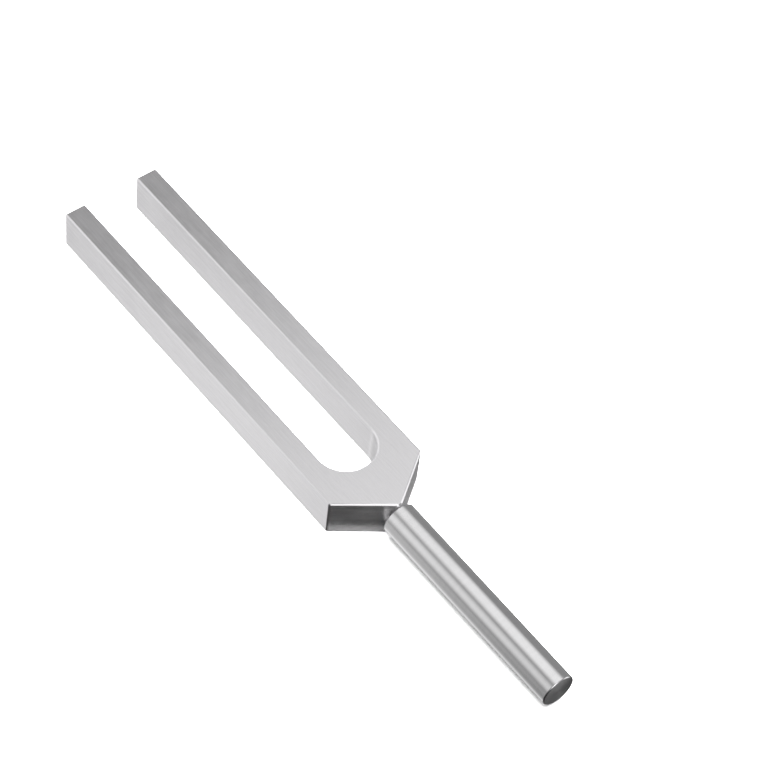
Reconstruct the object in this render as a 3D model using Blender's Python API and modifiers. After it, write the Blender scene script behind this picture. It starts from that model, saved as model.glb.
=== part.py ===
"""Tuning fork: a U-shaped body cut from flat aluminium bar, and a round aluminium stem screwed to it.

Lengths are in metres. +X runs across the two tines, +Y runs along the fork towards their tips, and
+Z is up. The fork lies flat, with the underside of its body at Z = 0 and the origin below the middle
of its length. The shoulders run together in a nose that is narrower than the stem, whose flat end
butts against it. A headless steel screw inside joins the two.
"""

import math

import bmesh
import bpy

MM = 0.001

# Driving dimensions of the whole fork and of the bar that its body is cut from.
TOTAL_LENGTH = 160.0 * MM
BAR_WIDTH = 25.0 * MM
BAR_THICKNESS = 10.0 * MM
TINE_WIDTH = 5.4 * MM  # the way the tines bend, so it sets the pitch
BRIDGE_DEPTH = 3.7 * MM  # bottom of the slot to the line where the shoulders begin
NOSE_LENGTH = 8.5 * MM  # the shoulders slope to the nose over this length
NOSE_WIDTH = 1.0 * MM

# The stem.
STEM_DIAMETER = 8.0 * MM
STEM_REACH = 53.0 * MM  # nose to foot
FOOT_CHAMFER = 0.4 * MM

# The M4 x 16 headless screw, and the two blind holes that are drilled and tapped for it.
THREAD_DIAMETER = 4.0 * MM
THREAD_PITCH = 0.7 * MM
THREAD_HEIGHT = 0.43 * MM
SCREW_IN_BODY = 7.0 * MM
SCREW_IN_STEM = 9.0 * MM
SOCKET_ACROSS_FLATS = 2.0 * MM
SOCKET_DEPTH = 2.2 * MM
DRILL_RESERVE = 0.9 * MM  # the drilled hole goes this far past the screw, and the tapped one a pitch
DRILL_UNDERSIZE = 0.05 * MM  # the drill's radius is this much less than the root of the tapped thread
DRILL_POINT_ANGLE = math.radians(118)
COUNTERSINK = 0.1 * MM  # the mouth's radius is this much more than the tapped thread's

# Clearance between pieces, and the fineness of the round shapes.
GAP = 0.3 * MM
EDGE_BREAK = 0.3 * MM
OVERRUN = 1.0 * MM  # how far a cutter runs past the face that it opens
SLOT_STEPS = 32
TURNED_STEPS = 64
THREAD_STEPS = 24  # in one turn of the thread
WELD_DISTANCE = 0.001 * MM
SHARP_ANGLE = math.radians(30)

# Places along the fork, worked out from the driving dimensions.
TIP_Y = TOTAL_LENGTH / 2
FOOT_Y = -TOTAL_LENGTH / 2
NOSE_Y = FOOT_Y + STEM_REACH
SHOULDER_Y = NOSE_Y + NOSE_LENGTH
SLOT_RADIUS = BAR_WIDTH / 2 - TINE_WIDTH
SLOT_CENTRE_Y = SHOULDER_Y + BRIDGE_DEPTH + SLOT_RADIUS
MIDDLE_Z = BAR_THICKNESS / 2
CORE_RADIUS = THREAD_DIAMETER / 2 - THREAD_HEIGHT


def clear_scene():
    """Empties the file, whatever it was opened with."""
    for obj in list(bpy.data.objects):
        bpy.data.objects.remove(obj, do_unlink=True)


def new_collection(name):
    collection = bpy.data.collections.new(name)
    bpy.context.scene.collection.children.link(collection)
    return collection


def metal(name, colour, roughness):
    """A bare metal surface."""
    material = bpy.data.materials.new(name)
    material.use_nodes = True
    shader = material.node_tree.nodes["Principled BSDF"]
    shader.inputs["Base Color"].default_value = (*colour, 1.0)
    shader.inputs["Metallic"].default_value = 1.0
    shader.inputs["Roughness"].default_value = roughness
    return material


def put_in(collection, name, data, parent=None):
    """A new object in the collection, at its parent's origin."""
    obj = bpy.data.objects.new(name, data)
    collection.objects.link(obj)
    obj.parent = parent
    return obj


def as_cutter(obj):
    """Marks an object as a tool that shapes others and is no part of the fork."""
    obj.hide_render = True
    obj.display_type = "WIRE"
    return obj


def cut(obj, cutter, operation="DIFFERENCE"):
    """Takes the cutter's shape out of the object, or with INTERSECT keeps only what is inside it."""
    modifier = obj.modifiers.new(cutter.name, "BOOLEAN")
    modifier.operation = operation
    modifier.solver = "EXACT"
    modifier.object = cutter


def break_edges(obj):
    """Takes the sharpness off every edge, as deburring does."""
    modifier = obj.modifiers.new("edge_break", "BEVEL")
    modifier.width = EDGE_BREAK
    modifier.segments = 2
    modifier.limit_method = "ANGLE"
    modifier.angle_limit = SHARP_ANGLE


def evaluated_mesh(obj):
    """The object's shape, with its modifiers applied, as a mesh of its own."""
    bpy.context.view_layer.update()
    graph = bpy.context.evaluated_depsgraph_get()
    return bpy.data.meshes.new_from_object(obj.evaluated_get(graph))


def complete(piece, material):
    """Applies the piece's modifiers, shades it smooth with crisp edges, and gives it its material."""
    mesh = evaluated_mesh(piece)
    piece.modifiers.clear()
    piece.data = mesh
    mesh.shade_smooth()
    mesh.set_sharp_from_angle(angle=SHARP_ANGLE)
    mesh.materials.clear()
    mesh.materials.append(material)


def mesh_from(shape, name):
    mesh = bpy.data.meshes.new(name)
    shape.to_mesh(mesh)
    shape.free()
    return mesh


def plate(name, outline, thickness, collection):
    """The outline as a plate, with local Z = 0 in the middle of its thickness."""
    curve = bpy.data.curves.new(name, "CURVE")
    curve.dimensions = "2D"
    curve.fill_mode = "BOTH"
    curve.extrude = thickness / 2
    spline = curve.splines.new("POLY")
    spline.points.add(len(outline) - 1)
    for point, (x, y) in zip(spline.points, outline):
        point.co = (x, y, 0, 1)
    spline.use_cyclic_u = True
    drawn = put_in(collection, name + "_outline", curve)

    shape = bmesh.new()
    shape.from_mesh(evaluated_mesh(drawn))
    bmesh.ops.remove_doubles(shape, verts=shape.verts, dist=WELD_DISTANCE)
    bmesh.ops.recalc_face_normals(shape, faces=shape.faces)
    solid = put_in(collection, name, mesh_from(shape, name))
    solid.matrix_world = drawn.matrix_world
    bpy.data.objects.remove(drawn, do_unlink=True)
    return solid


def turned(name, profile, steps, collection, axis):
    """A solid of revolution about local Z, in so many steps.

    The profile is a list of (radius, height). It starts on the axis at the top, runs down the outer
    side and ends on the axis at the bottom.
    """
    shape = bmesh.new()
    points = [shape.verts.new((radius, 0, height)) for radius, height in profile]
    for start, end in zip(points, points[1:]):
        shape.edges.new((start, end))
    solid = put_in(collection, name, mesh_from(shape, name), axis)
    turn = solid.modifiers.new("turn", "SCREW")
    turn.axis = "Z"
    turn.steps = steps
    turn.render_steps = steps
    turn.use_merge_vertices = True
    turn.merge_threshold = WELD_DISTANCE
    return solid


def threaded_rod(name, bottom, top, clearance, collection, axis):
    """A rod about local Z with a right-hand V thread. It is whole from bottom to top.

    Two helices make its surface: the root of the thread, and its crest half a pitch higher. Each end
    runs out over one more pitch. The thread's phase is set by local Z = 0, so every rod's thread lines
    up with every other's. clearance is added to the radius, for the thread in a hole.
    """
    first = math.floor((bottom / THREAD_PITCH - 1) * THREAD_STEPS)
    last = math.ceil(top / THREAD_PITCH * THREAD_STEPS)
    shape = bmesh.new()

    def helix(radius, rise, end):
        points = []
        for step in range(first, end + 1):
            angle = 2 * math.pi * step / THREAD_STEPS
            x = (radius + clearance) * math.cos(angle)
            y = (radius + clearance) * math.sin(angle)
            points.append(shape.verts.new((x, y, rise + THREAD_PITCH * step / THREAD_STEPS)))
        return points

    root = helix(CORE_RADIUS, 0, last + THREAD_STEPS)
    crest = helix(THREAD_DIAMETER / 2, THREAD_PITCH / 2, last)
    for step in range(last - first):
        above = step + THREAD_STEPS
        shape.faces.new((root[step], root[step + 1], crest[step + 1], crest[step]))
        shape.faces.new((crest[step], crest[step + 1], root[above + 1], root[above]))

    lower_rim = root[: THREAD_STEPS + 1] + crest[:1]
    upper_rim = root[last - first :] + crest[last - first :]
    for rim in (lower_rim, upper_rim):
        height = sum(point.co.z for point in rim) / len(rim)
        centre = shape.verts.new((0, 0, height))
        for start, end in zip(rim, rim[1:] + rim[:1]):
            shape.faces.new((centre, start, end))
    bmesh.ops.recalc_face_normals(shape, faces=shape.faces)
    bmesh.ops.triangulate(shape, faces=shape.faces)
    return put_in(collection, name, mesh_from(shape, name), axis)


def joint_axis(collection):
    """The fork's long axis. Local Z runs towards the tines, from the face of the nose."""
    axis = put_in(collection, "joint_axis", None)
    axis.location = (0, NOSE_Y, MIDDLE_Z)
    axis.rotation_euler = (math.radians(-90), 0, 0)
    return axis


def fork_outline():
    """Corners of the body seen from above, anticlockwise, with the slot's arc as its last points."""
    outer = BAR_WIDTH / 2
    nose = NOSE_WIDTH / 2
    points = [(-SLOT_RADIUS, TIP_Y), (-outer, TIP_Y), (-outer, SHOULDER_Y), (-nose, NOSE_Y)]
    points += [(nose, NOSE_Y), (outer, SHOULDER_Y), (outer, TIP_Y), (SLOT_RADIUS, TIP_Y)]
    for step in range(SLOT_STEPS + 1):
        angle = -math.pi * step / SLOT_STEPS
        x = SLOT_RADIUS * math.cos(angle)
        y = SLOT_RADIUS * math.sin(angle)
        points.append((x, SLOT_CENTRE_Y + y))
    return points


def drill_profile(depth, face):
    """A drill, as wide as the hole down to the depth and then pointed, that countersinks the face."""
    radius = CORE_RADIUS + GAP - DRILL_UNDERSIZE
    tip = radius / math.tan(DRILL_POINT_ANGLE / 2)
    mouth = THREAD_DIAMETER / 2 + GAP + COUNTERSINK
    points = [(0, depth + tip), (radius, depth), (radius, face + mouth - radius)]
    return points + [(mouth, face), (mouth, face - OVERRUN), (0, face - OVERRUN)]


def upside_down(profile):
    """The same profile pointing the other way, still listed from the top."""
    return [(radius, -height) for radius, height in reversed(profile)]


def make_body(collection, cutters, axis):
    """Both tines and the bridge between them, with a tapped hole in the nose."""
    body = plate("fork_body", fork_outline(), BAR_THICKNESS, collection)
    body.location.z = MIDDLE_Z
    break_edges(body)
    point = drill_profile(SCREW_IN_BODY + DRILL_RESERVE, 0)
    drill = turned("body_drill", point, THREAD_STEPS, cutters, axis)
    tap = threaded_rod("body_tap", 0, SCREW_IN_BODY, GAP, cutters, axis)
    for cutter in (drill, tap):
        cut(body, as_cutter(cutter))
    return body


def make_stem(collection, cutters, axis):
    """The round handle, turned from rod, with a tapped hole in its upper end."""
    radius = STEM_DIAMETER / 2
    foot = FOOT_Y - NOSE_Y
    profile = [
        (0, -GAP),
        (radius - EDGE_BREAK, -GAP),
        (radius, -GAP - EDGE_BREAK),
        (radius, foot + FOOT_CHAMFER),
        (radius - FOOT_CHAMFER, foot),
        (0, foot),
    ]
    stem = turned("stem", profile, TURNED_STEPS, collection, axis)
    point = upside_down(drill_profile(SCREW_IN_STEM + DRILL_RESERVE, GAP))
    drill = turned("stem_drill", point, THREAD_STEPS, cutters, axis)
    tap = threaded_rod("stem_tap", -SCREW_IN_STEM, 0, GAP, cutters, axis)
    for cutter in (drill, tap):
        cut(stem, as_cutter(cutter))
    return stem


def make_screw(collection, cutters, axis):
    """The headless screw: both ends are chamfered, and the one in the stem has a hexagon socket."""
    screw = threaded_rod("joining_screw", -SCREW_IN_STEM, SCREW_IN_BODY, 0, collection, axis)
    wide = CORE_RADIUS + OVERRUN
    ends = [
        (0, SCREW_IN_BODY),
        (CORE_RADIUS, SCREW_IN_BODY),
        (wide, SCREW_IN_BODY - OVERRUN),
        (wide, OVERRUN - SCREW_IN_STEM),
        (CORE_RADIUS, -SCREW_IN_STEM),
        (0, -SCREW_IN_STEM),
    ]
    blank = turned("screw_blank", ends, THREAD_STEPS, cutters, axis)
    shape = bmesh.new()
    corner_radius = SOCKET_ACROSS_FLATS / math.sqrt(3)
    height = SOCKET_DEPTH + OVERRUN
    bmesh.ops.create_cone(
        shape, cap_ends=True, segments=6, radius1=corner_radius, radius2=corner_radius, depth=height
    )
    socket = put_in(cutters, "socket_cutter", mesh_from(shape, "socket_cutter"), axis)
    socket.location.z = -SCREW_IN_STEM + SOCKET_DEPTH - height / 2
    cut(screw, as_cutter(blank), "INTERSECT")
    cut(screw, as_cutter(socket))
    return screw


def main():
    clear_scene()
    fork = new_collection("tuning_fork")
    cutters = new_collection("cutters")
    axis = joint_axis(fork)
    body = make_body(fork, cutters, axis)
    stem = make_stem(fork, cutters, axis)
    screw = make_screw(fork, cutters, axis)
    complete(body, metal("satin_aluminium", (0.80, 0.80, 0.81), 0.35))
    complete(stem, metal("polished_aluminium", (0.86, 0.86, 0.87), 0.12))
    complete(screw, metal("blackened_steel", (0.10, 0.10, 0.11), 0.45))


main()
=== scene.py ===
"""The looks of the tuning fork: fine meshes and metals for its pieces, on a pale studio floor.

Lengths are in metres, in the frame of the CAD model: +X across the tines, +Y towards their tips, +Z up.
"""

import math

import bmesh
import bpy
from mathutils import Matrix, Vector


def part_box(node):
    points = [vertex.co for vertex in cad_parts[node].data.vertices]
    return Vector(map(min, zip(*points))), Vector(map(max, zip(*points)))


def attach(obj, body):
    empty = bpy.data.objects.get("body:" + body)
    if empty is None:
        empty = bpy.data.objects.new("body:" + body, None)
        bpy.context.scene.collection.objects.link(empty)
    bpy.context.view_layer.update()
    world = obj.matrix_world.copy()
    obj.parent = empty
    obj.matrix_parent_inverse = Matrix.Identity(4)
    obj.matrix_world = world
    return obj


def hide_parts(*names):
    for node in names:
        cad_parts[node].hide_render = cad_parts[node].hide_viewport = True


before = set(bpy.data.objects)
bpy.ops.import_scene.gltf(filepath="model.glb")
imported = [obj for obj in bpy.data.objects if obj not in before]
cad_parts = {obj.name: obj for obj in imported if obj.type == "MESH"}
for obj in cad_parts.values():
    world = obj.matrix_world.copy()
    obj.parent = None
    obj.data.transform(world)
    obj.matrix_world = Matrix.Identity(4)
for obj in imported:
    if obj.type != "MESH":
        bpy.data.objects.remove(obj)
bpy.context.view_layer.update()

MM = 0.001

# The CAD model's boxes give the places of the faces.
BODY_LOW, BODY_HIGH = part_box("fork_body")
STEM_LOW, STEM_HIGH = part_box("stem")
SCREW_LOW, SCREW_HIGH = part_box("joining_screw")
TIP_Y = BODY_HIGH.y
NOSE_Y = BODY_LOW.y
FOOT_Y = STEM_LOW.y
OUTER = BODY_HIGH.x
THICKNESS = BODY_HIGH.z
MIDDLE_Z = THICKNESS / 2
STEM_RADIUS = STEM_HIGH.x
THREAD_RADIUS = SCREW_HIGH.x

# The dimensions that the boxes don't give.
TINE_WIDTH = 5.4 * MM
BRIDGE_DEPTH = 3.7 * MM
NOSE_LENGTH = 8.5 * MM
NOSE_WIDTH = 1.0 * MM
THREAD_PITCH = 0.7 * MM
THREAD_HEIGHT = 0.43 * MM
DRILL_RESERVE = 0.9 * MM
DRILL_UNDERSIZE = 0.05 * MM
DRILL_POINT_ANGLE = math.radians(118)
COUNTERSINK = 0.1 * MM
GAP = 0.3 * MM
HAIRLINE = 0.05 * MM  # what shows of the joint between the stem and the nose

SHOULDER_Y = NOSE_Y + NOSE_LENGTH
SLOT_RADIUS = OUTER - TINE_WIDTH
SLOT_CENTRE_Y = SHOULDER_Y + BRIDGE_DEPTH + SLOT_RADIUS
CORE_RADIUS = THREAD_RADIUS - THREAD_HEIGHT

# Fineness of the visible meshes.
EDGE_RADIUS = 0.35 * MM
EDGE_STEPS = 4
EDGE_PROFILE = 0.28  # between a flat chamfer, 0.25, and a round, 0.5
RIM_RADIUS = 0.2 * MM
FOOT_RADIUS = 0.35 * MM
ARC_STEPS = 96
TURNED_STEPS = 160
THREAD_STEPS = 24
OVERRUN = 1.0 * MM
WELD_DISTANCE = 0.0005 * MM
SHARP_ANGLE = math.radians(25)

# The camera: where it stands, and the turn from the fork's axes to the picture's own, which are X to
# the right, Y down and Z away from the camera. The turn's length is its angle in radians.
CAMERA_PLACE = Vector((-249.64, -274.96, 495.48)) * MM
CAMERA_ROTATION = Vector((2.38638, -0.7894, 0.37963))
CAMERA_LENS = 132.76  # in mm
SENSOR_WIDTH = 36.0  # in mm

FLOOR_RADIUS = 6.0
FLOOR_GREY = 0.93
FLOOR_LIGHT_WIDTH = 3.0
FLOOR_LIGHT_HEIGHT = 2.5
FLOOR_LIGHT_POWER = 300.0  # in watts

# The studio that the metal mirrors: an even room with patches of light on it. A patch is given by
# its azimuth from +X towards +Y, its height above the horizon, how far from its middle it ends and
# how far from its middle it is full, all in degrees, and its strength. Flags take light away.
ROOM_LEVEL = 0.29
OVERHEAD_BOX = (33, 73, 44, 0, 0.77)
OVERHEAD_EDGE = (0.456, 0.496)  # it fades out between these two values of the direction's Y
SOFT_BOXES = {
    "back left": (132, 24, 36, 0, 0.75),
    "low back": (99, -30, 69, 18, 0.90),
    "low left": (132, -12, 14, 6, 1.75),
    "flag behind": (102, -35, 28, 20, -0.60),
    "flag right": (-4, -52, 40, 5, -0.26),
    "flag below": (72, -72, 26, 0, -0.35),
}
LAMPS = {
    "right": (-27, 7, 23, 7, 1.5),
    "in front": (-103, 33, 28, 0, 1.9),
}
DIMMEST_LEVEL = 0.05  # where flags overlap
BRIGHTEST_LEVEL = 1.0  # where boxes overlap, so that no face mirrors them much whiter than the floor
DARK_SIDE = (-141, -35, 65, 40)  # low down on the camera's side
DARK_LEVEL = 0.032

# The metals.
BRIGHTEST_SHADE = 0.98  # no metal gives back more light than it gets
NOISE_RANGE = (0.3, 0.7)  # nearly all of a noise's values lie between these
# The painted reflection on the lower band of the faces towards the foot: its height in mm, its metallic
# value and its extra roughness.
REFLECTION_BAND_HEIGHT = 4.0  # in mm
REFLECTION_BAND_METALLIC = 0.86
REFLECTION_BAND_ROUGHNESS = 0.2  # added to the metal's own
TIP_PAINTED_SHADE = (0.04, -0.07)  # painted shade added to the tone, up to the fork's middle and at the tips: lighter near the bridge, darker at the tips
WALL_SLOPE = 0.7  # a face is a wall where its normal rises or falls by less than this
WALL_OFFSET = 37.0  # in mm, so that the walls don't repeat the flat faces' brushing
POLISHED_TONE = 0.80
END_SLOPE = 0.7  # the stem's ends are where its normal lies along the fork by more than this
END_ROUGHNESS = 0.15  # added to the stem's own where its normal lies right along the fork


# ---------------------------------------------------------------- shapes


def mesh_from(shape, name):
    mesh = bpy.data.meshes.new(name)
    shape.to_mesh(mesh)
    shape.free()
    return mesh


def put(name, mesh, along_fork=False):
    """A new object. With along_fork its local Z is the fork's axis, from the face of the nose."""
    obj = bpy.data.objects.new(name, mesh)
    bpy.context.scene.collection.objects.link(obj)
    if along_fork:
        turn = Matrix.Rotation(math.radians(-90), 4, "X")
        obj.matrix_world = Matrix.Translation((0, NOSE_Y, MIDDLE_Z)) @ turn
    return obj


def settle(obj):
    """Applies the object's modifiers and its place, and welds what they left doubled."""
    bpy.context.view_layer.update()
    graph = bpy.context.evaluated_depsgraph_get()
    mesh = bpy.data.meshes.new_from_object(obj.evaluated_get(graph))
    mesh.transform(obj.matrix_world)
    obj.modifiers.clear()
    obj.data = mesh
    obj.matrix_world = Matrix.Identity(4)
    shape = bmesh.new()
    shape.from_mesh(mesh)
    bmesh.ops.remove_doubles(shape, verts=shape.verts, dist=WELD_DISTANCE)
    bmesh.ops.dissolve_degenerate(shape, edges=shape.edges, dist=WELD_DISTANCE)
    shape.to_mesh(mesh)
    shape.free()
    mesh.shade_smooth()
    mesh.set_sharp_from_angle(angle=SHARP_ANGLE)
    flatten = obj.modifiers.new("flatten", "WEIGHTED_NORMAL")
    flatten.weight = 100
    flatten.keep_sharp = True
    bpy.context.view_layer.update()
    graph = bpy.context.evaluated_depsgraph_get()
    obj.data = bpy.data.meshes.new_from_object(obj.evaluated_get(graph))
    obj.modifiers.clear()


def cut(obj, cutters):
    """Takes the cutters' shapes out of the object, and removes the cutters."""
    for cutter in cutters:
        modifier = obj.modifiers.new(cutter.name, "BOOLEAN")
        modifier.operation = "DIFFERENCE"
        modifier.solver = "EXACT"
        modifier.object = cutter
    settle(obj)
    for cutter in cutters:
        bpy.data.objects.remove(cutter, do_unlink=True)


def turned(name, profile, steps):
    """A solid of revolution about local Z: (radius, height) from the axis at the top to the axis."""
    shape = bmesh.new()
    points = [shape.verts.new((radius, 0, height)) for radius, height in profile]
    for start, end in zip(points, points[1:]):
        shape.edges.new((start, end))
    solid = put(name, mesh_from(shape, name), along_fork=True)
    turn = solid.modifiers.new("turn", "SCREW")
    turn.axis = "Z"
    turn.steps = steps
    turn.render_steps = steps
    turn.use_merge_vertices = True
    turn.merge_threshold = WELD_DISTANCE
    return solid


def threaded_rod(name, bottom, top, clearance):
    """A rod about local Z with a right-hand V thread, whole from bottom to top, as in the CAD."""
    first = math.floor((bottom / THREAD_PITCH - 1) * THREAD_STEPS)
    last = math.ceil(top / THREAD_PITCH * THREAD_STEPS)
    shape = bmesh.new()

    def helix(radius, rise, end):
        points = []
        for step in range(first, end + 1):
            angle = 2 * math.pi * step / THREAD_STEPS
            x = (radius + clearance) * math.cos(angle)
            y = (radius + clearance) * math.sin(angle)
            points.append(shape.verts.new((x, y, rise + THREAD_PITCH * step / THREAD_STEPS)))
        return points

    root = helix(CORE_RADIUS, 0, last + THREAD_STEPS)
    crest = helix(THREAD_RADIUS, THREAD_PITCH / 2, last)
    for step in range(last - first):
        above = step + THREAD_STEPS
        shape.faces.new((root[step], root[step + 1], crest[step + 1], crest[step]))
        shape.faces.new((crest[step], crest[step + 1], root[above + 1], root[above]))
    lower_rim = root[: THREAD_STEPS + 1] + crest[:1]
    upper_rim = root[last - first :] + crest[last - first :]
    for rim in (lower_rim, upper_rim):
        height = sum(point.co.z for point in rim) / len(rim)
        centre = shape.verts.new((0, 0, height))
        for start, end in zip(rim, rim[1:] + rim[:1]):
            shape.faces.new((centre, start, end))
    bmesh.ops.recalc_face_normals(shape, faces=shape.faces)
    bmesh.ops.triangulate(shape, faces=shape.faces)
    return put(name, mesh_from(shape, name), along_fork=True)


def drill_profile(depth, face):
    """A drill, as wide as the hole down to the depth and then pointed, that countersinks the face."""
    radius = CORE_RADIUS + GAP - DRILL_UNDERSIZE
    tip = radius / math.tan(DRILL_POINT_ANGLE / 2)
    mouth = THREAD_RADIUS + GAP + COUNTERSINK
    points = [(0, depth + tip), (radius, depth), (radius, face + mouth - radius)]
    return points + [(mouth, face), (mouth, face - OVERRUN), (0, face - OVERRUN)]


def upside_down(profile):
    return [(radius, -height) for radius, height in reversed(profile)]


def rounded(centre_radius, centre_height, radius, start, end, steps):
    """Points of a small arc on a turned profile, between two angles in degrees."""
    points = []
    for step in range(steps + 1):
        angle = math.radians(start + (end - start) * step / steps)
        point = (centre_radius + radius * math.cos(angle), centre_height + radius * math.sin(angle))
        points.append(point)
    return points


def fork_outline():
    """Corners of the body from above, anticlockwise, with the slot's arc as its last points."""
    nose = NOSE_WIDTH / 2
    points = [(-SLOT_RADIUS, TIP_Y), (-OUTER, TIP_Y), (-OUTER, SHOULDER_Y), (-nose, NOSE_Y)]
    points += [(nose, NOSE_Y), (OUTER, SHOULDER_Y), (OUTER, TIP_Y), (SLOT_RADIUS, TIP_Y)]
    for step in range(ARC_STEPS + 1):
        angle = -math.pi * step / ARC_STEPS
        x = SLOT_RADIUS * math.cos(angle)
        points.append((x, SLOT_CENTRE_Y + SLOT_RADIUS * math.sin(angle)))
    return points


def make_body(flat, edge):
    """Both tines and the bridge, with rounded edges in a metal of their own, and the tapped hole."""
    shape = bmesh.new()
    corners = [shape.verts.new((x, y, 0)) for x, y in fork_outline()]
    face = shape.faces.new(corners)
    raised = bmesh.ops.extrude_face_region(shape, geom=[face])["geom"]
    points = [item for item in raised if isinstance(item, bmesh.types.BMVert)]
    bmesh.ops.translate(shape, verts=points, vec=(0, 0, THICKNESS))
    bmesh.ops.recalc_face_normals(shape, faces=shape.faces)
    crisp = [item for item in shape.edges if item.calc_face_angle() > SHARP_ANGLE]
    bmesh.ops.bevel(
        shape,
        geom=crisp,
        offset=EDGE_RADIUS,
        segments=EDGE_STEPS,
        profile=EDGE_PROFILE,
        affect="EDGES",
        material=1,
    )
    body = put("body", mesh_from(shape, "body"))
    dress(body, flat, edge)
    reach = SCREW_HIGH.y - NOSE_Y
    drill = turned("body_drill", drill_profile(reach + DRILL_RESERVE, 0), THREAD_STEPS)
    tap = threaded_rod("body_tap", 0, reach, GAP)
    cut(body, [drill, tap])
    return body


def make_handle(metal):
    """The stem, with a rounded foot and its tapped hole."""
    foot = FOOT_Y - NOSE_Y
    radius = STEM_RADIUS
    rim = RIM_RADIUS
    upper = rounded(radius - rim, -HAIRLINE - rim, rim, 90, 0, EDGE_STEPS)
    lower = rounded(radius - FOOT_RADIUS, foot + FOOT_RADIUS, FOOT_RADIUS, 0, -90, EDGE_STEPS)
    handle = turned("handle", [(0, -HAIRLINE)] + upper + lower + [(0, foot)], TURNED_STEPS)
    dress(handle, metal)
    reach = NOSE_Y - SCREW_LOW.y
    point = upside_down(drill_profile(reach + DRILL_RESERVE, HAIRLINE))
    drill = turned("stem_drill", point, THREAD_STEPS)
    tap = threaded_rod("stem_tap", -reach, 0, GAP)
    cut(handle, [drill, tap])
    return handle


# ---------------------------------------------------------------- materials


class Nodes:
    """A short way to write a node tree."""

    def __init__(self, owner):
        owner.use_nodes = True
        self.tree = owner.node_tree
        self.tree.nodes.clear()

    def add(self, kind, settings=None, **inputs):
        """A node with its settings and inputs. An input is a value or another node's output."""
        node = self.tree.nodes.new(kind)
        for name, value in (settings or {}).items():
            setattr(node, name, value)
        for name, value in inputs.items():
            self.feed(node, name.replace("_", " "), value)
        return node

    def feed(self, node, name, value):
        socket = node.inputs[int(name)] if name.isdigit() else node.inputs[name]
        if isinstance(value, bpy.types.NodeSocket):
            self.tree.links.new(value, socket)
        else:
            socket.default_value = value

    def math(self, operation, first, second=0.0):
        node = self.add("ShaderNodeMath", {"operation": operation})
        self.feed(node, "0", first)
        self.feed(node, "1", second)
        return node.outputs[0]

    def mix(self, factor, first, second):
        node = self.add("ShaderNodeMix", {"data_type": "FLOAT"})
        for index, value in enumerate((factor, first, second)):
            self.feed(node, "023"[index], value)
        return node.outputs[0]

    def between(self, value, low, high, from_low=0.0, from_high=1.0, smooth=False):
        """The value moved from one range to another, and held inside it."""
        settings = {"interpolation_type": "SMOOTHSTEP" if smooth else "LINEAR"}
        node = self.add("ShaderNodeMapRange", settings)
        for name, number in (
            ("Value", value),
            ("From Min", from_low),
            ("From Max", from_high),
            ("To Min", low),
            ("To Max", high),
        ):
            self.feed(node, name, number)
        return node.outputs["Result"]

    def varied(self, value, noise, amount):
        """The value, raised or lowered by up to the amount as the noise has it."""
        return self.math("ADD", value, self.between(noise, -amount, amount, *NOISE_RANGE))

    def noise(self, place, stretch, scale, detail, roughness):
        """Noise over a place that is first stretched along each axis."""
        mapped = self.add("ShaderNodeMapping", Vector=place, Scale=stretch)
        node = self.add(
            "ShaderNodeTexNoise",
            Vector=mapped.outputs[0],
            Scale=scale,
            Detail=detail,
            Roughness=roughness,
        )
        return node.outputs["Fac"]


def place_node(nodes):
    """Position on the fork in millimetres."""
    geometry = nodes.add("ShaderNodeTexCoord")
    scaled = nodes.add("ShaderNodeVectorMath", {"operation": "SCALE"}, Scale=1 / MM)
    nodes.feed(scaled, "Vector", geometry.outputs["Object"])
    return scaled.outputs[0]


def split_node(nodes, vector):
    """The three parts of a vector."""
    return nodes.add("ShaderNodeSeparateXYZ", Vector=vector).outputs[:]


def normal_node(nodes):
    return nodes.add("ShaderNodeNewGeometry").outputs["Normal"]


def new_material(name):
    material = bpy.data.materials.new(name)
    nodes = Nodes(material)
    shader = nodes.add("ShaderNodeBsdfPrincipled", Metallic=1.0)
    output = nodes.add("ShaderNodeOutputMaterial")
    nodes.feed(output, "Surface", shader.outputs[0])
    return material, nodes, shader


def brushed_grain(nodes):
    """Position as across and along the brushing, and the direction across it.

    The flat faces are brushed along the fork, and every wall is brushed level, in its own direction.
    """
    x, y, z = split_node(nodes, place_node(nodes))
    normal_x, normal_y, normal_z = split_node(nodes, normal_node(nodes))
    wall = nodes.math("LESS_THAN", nodes.math("ABSOLUTE", normal_z), WALL_SLOPE)
    level = nodes.math(
        "SUBTRACT", nodes.math("MULTIPLY", y, normal_x), nodes.math("MULTIPLY", x, normal_y)
    )
    across = nodes.mix(wall, x, z)
    along = nodes.mix(wall, y, level)
    face = nodes.math("MULTIPLY", wall, WALL_OFFSET)
    grain = nodes.add("ShaderNodeCombineXYZ", X=across, Y=along, Z=face)
    sideways = nodes.math("SUBTRACT", 1.0, wall)
    tangent = nodes.add("ShaderNodeCombineXYZ", X=sideways, Y=0.0, Z=wall)
    return grain.outputs[0], tangent.outputs[0]


def reflection_band_node(nodes):
    """How much painted reflection the shoulders get, from nothing to fully at their lower edge: there
    they are made less metallic, and so lighter, and rougher.
    """
    z = split_node(nodes, place_node(nodes))[2]
    facing_foot = nodes.math("LESS_THAN", split_node(nodes, normal_node(nodes))[1], -0.5)
    patchy = nodes.noise(place_node(nodes), (1, 1, 1), 1.2, 4.0, 0.6)
    height = nodes.varied(z, patchy, 0.5)
    low = nodes.between(height, 1, 0, 0, REFLECTION_BAND_HEIGHT, smooth=True)
    return nodes.math("MULTIPLY", low, facing_foot)


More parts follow.
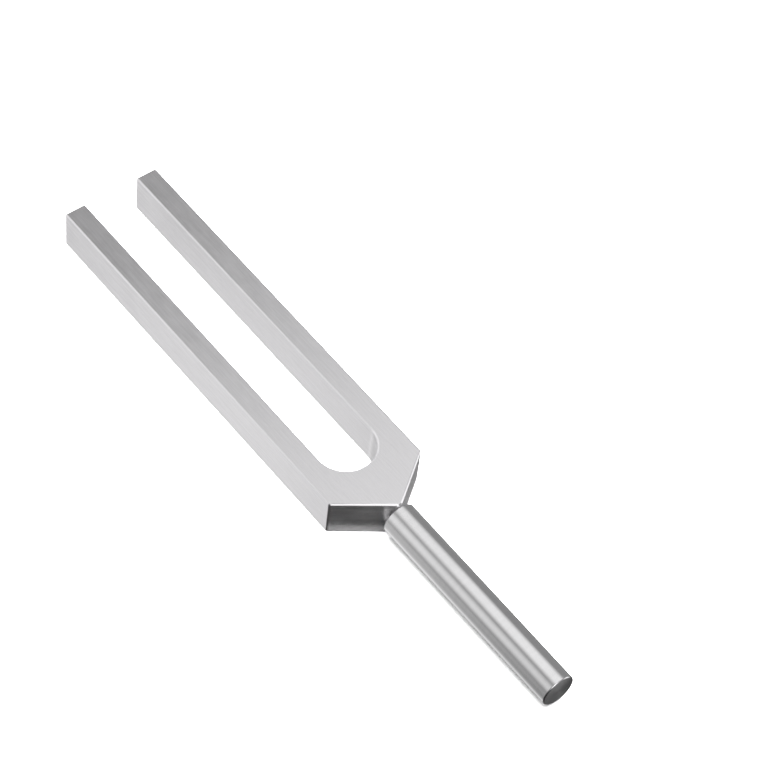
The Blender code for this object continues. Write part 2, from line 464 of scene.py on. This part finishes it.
def satin_aluminium(name, tone, smoothest, roughest, anisotropy):
    """Brushed bar stock: fine lines, longer streaks and faint blotches in tone, gloss and relief."""
    material, nodes, shader = new_material(name)
    grain, tangent = brushed_grain(nodes)
    lines = nodes.noise(grain, (1, 0.03, 1), 8.0, 2.0, 0.5)
    streaks = nodes.noise(grain, (1, 0.035, 1), 2.2, 2.0, 0.5)
    blotches = nodes.noise(grain, (1, 0.4, 1), 0.4, 4.0, 0.65)
    painted_reflection = reflection_band_node(nodes)
    shade = nodes.varied(tone, lines, 0.03)
    shade = nodes.varied(shade, streaks, 0.035)
    shade = nodes.varied(shade, blotches, 0.035)
    # Painted shade: the tone is made lighter near the bridge and darker towards the tips.
    painted_tip_shade = nodes.between(split_node(nodes, place_node(nodes))[1], *TIP_PAINTED_SHADE, 0, TIP_Y / MM)
    shade = nodes.math("MINIMUM", nodes.math("ADD", shade, painted_tip_shade), BRIGHTEST_SHADE)
    colour = nodes.add("ShaderNodeCombineColor", Green=shade)
    nodes.feed(colour, "Red", nodes.math("ADD", shade, 0.01))
    nodes.feed(colour, "Blue", nodes.math("ADD", shade, 0.014))
    nodes.feed(shader, "Base Color", colour.outputs[0])
    # Painted reflection: the lower band of the faces towards the foot is made partly diffuse, so that
    # the floor light shows it lighter.
    nodes.feed(shader, "Metallic", nodes.mix(painted_reflection, 1.0, REFLECTION_BAND_METALLIC))
    rough = nodes.between(streaks, smoothest, roughest, *NOISE_RANGE)
    rough = nodes.varied(rough, blotches, 0.02)
    band_roughening = nodes.math("MULTIPLY", painted_reflection, REFLECTION_BAND_ROUGHNESS)
    nodes.feed(shader, "Roughness", nodes.math("ADD", rough, band_roughening))
    nodes.feed(shader, "Anisotropic", nodes.mix(painted_reflection, anisotropy, 0.0))
    nodes.feed(shader, "Tangent", tangent)
    relief = nodes.math("ADD", lines, nodes.math("MULTIPLY", streaks, 2.0))
    bump = nodes.add("ShaderNodeBump", Strength=0.25, Distance=0.008 * MM, Height=relief)
    nodes.feed(shader, "Normal", bump.outputs[0])
    return material


def polished_aluminium():
    """Turned and polished rod: fine rings left by the lathe, on the foot too, and faint smudges."""
    material, nodes, shader = new_material("polished_aluminium")
    x, y, z = split_node(nodes, place_node(nodes))
    rise = nodes.math("SUBTRACT", z, MIDDLE_Z / MM)
    radial = nodes.add("ShaderNodeCombineXYZ", X=x, Y=0.0, Z=rise).outputs[0]
    radius = nodes.add("ShaderNodeVectorMath", {"operation": "LENGTH"}, Vector=radial)
    facing = nodes.math("ABSOLUTE", split_node(nodes, normal_node(nodes))[1])
    on_end = nodes.math("GREATER_THAN", facing, END_SLOPE)
    depth = nodes.mix(on_end, y, radius.outputs["Value"])
    around = nodes.mix(on_end, nodes.math("MULTIPLY", x, 0.06), 0.0)
    turning = nodes.add("ShaderNodeCombineXYZ", X=depth, Y=around, Z=on_end).outputs[0]
    rings = nodes.noise(turning, (1, 1, 1), 6.0, 4.0, 0.7)
    bands = nodes.noise(turning, (1, 1, 1), 0.7, 2.0, 0.5)
    smudges = nodes.noise(place_node(nodes), (1, 0.3, 1), 0.5, 4.0, 0.6)
    shade = nodes.varied(POLISHED_TONE, rings, 0.02)
    shade = nodes.varied(shade, bands, 0.015)
    colour = nodes.add("ShaderNodeCombineColor", Green=shade)
    nodes.feed(colour, "Red", nodes.math("ADD", shade, 0.004))
    nodes.feed(colour, "Blue", nodes.math("ADD", shade, 0.008))
    nodes.feed(shader, "Base Color", colour.outputs[0])
    rough = nodes.between(smudges, 0.14, 0.18, *NOISE_RANGE)
    rough = nodes.math("ADD", rough, nodes.math("MULTIPLY", facing, END_ROUGHNESS))
    nodes.feed(shader, "Roughness", rough)
    nodes.feed(shader, "Anisotropic", 0.5)
    length = nodes.add("ShaderNodeCombineXYZ", X=0.0, Y=1.0, Z=0.0).outputs[0]
    tangent = nodes.add("ShaderNodeMix", {"data_type": "VECTOR"})
    nodes.feed(tangent, "0", on_end)
    nodes.feed(tangent, "4", length)
    nodes.feed(tangent, "5", radial)
    nodes.feed(shader, "Tangent", tangent.outputs[1])
    relief = nodes.math("ADD", rings, nodes.math("MULTIPLY", bands, 2.0))
    bump = nodes.add("ShaderNodeBump", Strength=0.2, Distance=0.005 * MM, Height=relief)
    nodes.feed(shader, "Normal", bump.outputs[0])
    return material


def blackened_steel():
    """Black-oxide steel of the hidden screw, rubbed brighter here and there."""
    material, nodes, shader = new_material("blackened_steel")
    place = place_node(nodes)
    rubs = nodes.noise(place, (1, 1, 1), 2.5, 4.0, 0.6)
    tone = nodes.between(rubs, 0.07, 0.16, 0.35, 0.75)
    colour = nodes.add("ShaderNodeCombineColor", Red=tone, Green=tone, Blue=tone)
    nodes.feed(shader, "Base Color", colour.outputs[0])
    nodes.feed(shader, "Roughness", nodes.between(rubs, 0.5, 0.32, 0.35, 0.75))
    bump = nodes.add("ShaderNodeBump", Strength=0.1, Distance=0.02 * MM, Height=rubs)
    nodes.feed(shader, "Normal", bump.outputs[0])
    return material


def dress(obj, *materials):
    obj.data.materials.clear()
    for material in materials:
        obj.data.materials.append(material)


# ---------------------------------------------------------------- studio


def make_camera():
    data = bpy.data.cameras.new("camera")
    data.lens = CAMERA_LENS
    data.sensor_width = SENSOR_WIDTH
    data.clip_start = 0.01
    data.clip_end = 20.0
    camera = bpy.data.objects.new("camera", data)
    bpy.context.scene.collection.objects.link(camera)
    angle = CAMERA_ROTATION.length
    seen = Matrix.Rotation(angle, 3, CAMERA_ROTATION / angle)
    flip = Matrix(((1, 0, 0), (0, -1, 0), (0, 0, -1)))
    turn = (flip @ seen).transposed().to_4x4()
    camera.matrix_world = Matrix.Translation(CAMERA_PLACE) @ turn
    bpy.context.scene.camera = camera


def make_floor():
    """A plain pale floor. The metal doesn't mirror it, but mirrors the studio's light instead."""
    shape = bmesh.new()
    bmesh.ops.create_circle(shape, cap_ends=True, segments=96, radius=FLOOR_RADIUS)
    floor = put("floor", mesh_from(shape, "floor"))
    floor.visible_glossy = False
    material = bpy.data.materials.new("floor")
    nodes = Nodes(material)
    grey = (FLOOR_GREY, FLOOR_GREY, FLOOR_GREY, 1)
    shader = nodes.add("ShaderNodeBsdfDiffuse", Color=grey)
    output = nodes.add("ShaderNodeOutputMaterial")
    nodes.feed(output, "Surface", shader.outputs[0])
    dress(floor, material)


def make_floor_light():
    """A wide soft light from above for the floor."""
    data = bpy.data.lights.new("floor_light", "AREA")
    data.shape = "DISK"
    data.size = FLOOR_LIGHT_WIDTH
    data.energy = FLOOR_LIGHT_POWER
    light = bpy.data.objects.new("floor_light", data)
    light.location = (0, 0, FLOOR_LIGHT_HEIGHT)
    light.visible_glossy = False
    light.visible_camera = False
    bpy.context.scene.collection.objects.link(light)


def patch(nodes, direction, azimuth, height, outside, inside, strength=1.0):
    """A round patch of light in the surroundings, with a soft rim, as the studio's values give it."""
    azimuth, height = math.radians(azimuth), math.radians(height)
    level = math.cos(height)
    aim = (level * math.cos(azimuth), level * math.sin(azimuth), math.sin(height))
    facing = nodes.add("ShaderNodeVectorMath", {"operation": "DOT_PRODUCT"})
    nodes.feed(facing, "0", direction)
    nodes.feed(facing, "1", aim)
    rim, middle = math.cos(math.radians(outside)), math.cos(math.radians(inside))
    return nodes.between(facing.outputs["Value"], 0, strength, rim, middle, smooth=True)


def make_surroundings():
    """The studio as the metal mirrors it: a pale room that is dark low down on the camera's side, a
    soft box overhead that ends in a straight edge, others behind and on the left, and two lamps."""
    world = bpy.data.worlds.new("studio")
    bpy.context.scene.world = world
    nodes = Nodes(world)
    direction = nodes.add("ShaderNodeTexCoord").outputs["Generated"]
    forward = split_node(nodes, direction)[1]
    edge = nodes.between(forward, 1, 0, *OVERHEAD_EDGE, smooth=True)
    overhead = nodes.math("MULTIPLY", patch(nodes, direction, *OVERHEAD_BOX), edge)
    level = nodes.math("ADD", overhead, ROOM_LEVEL)
    for values in SOFT_BOXES.values():
        level = nodes.math("ADD", level, patch(nodes, direction, *values))
    level = nodes.math("MAXIMUM", level, DIMMEST_LEVEL)
    level = nodes.math("MINIMUM", level, BRIGHTEST_LEVEL)
    for values in LAMPS.values():
        level = nodes.math("ADD", level, patch(nodes, direction, *values))
    level = nodes.mix(patch(nodes, direction, *DARK_SIDE), level, DARK_LEVEL)

    background = nodes.add("ShaderNodeBackground")
    nodes.feed(background, "Color", level)
    output = nodes.add("ShaderNodeOutputWorld")
    nodes.feed(output, "Surface", background.outputs[0])


make_camera()
make_floor()
make_floor_light()
make_surroundings()
bpy.context.scene.view_settings.view_transform = "Standard"

body = make_body(
    satin_aluminium("satin_aluminium", tone=0.88, smoothest=0.30, roughest=0.36, anisotropy=0.85),
    # The rounded edges: a little lighter in tone as a painted highlight, and smoother and not brushed.
    satin_aluminium("edge_with_painted_highlight", tone=0.92, smoothest=0.22, roughest=0.25, anisotropy=0.0),
)
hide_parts("fork_body")
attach(body, "root")

handle = make_handle(polished_aluminium())
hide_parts("stem")
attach(handle, "root")

dress(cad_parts["joining_screw"], blackened_steel())
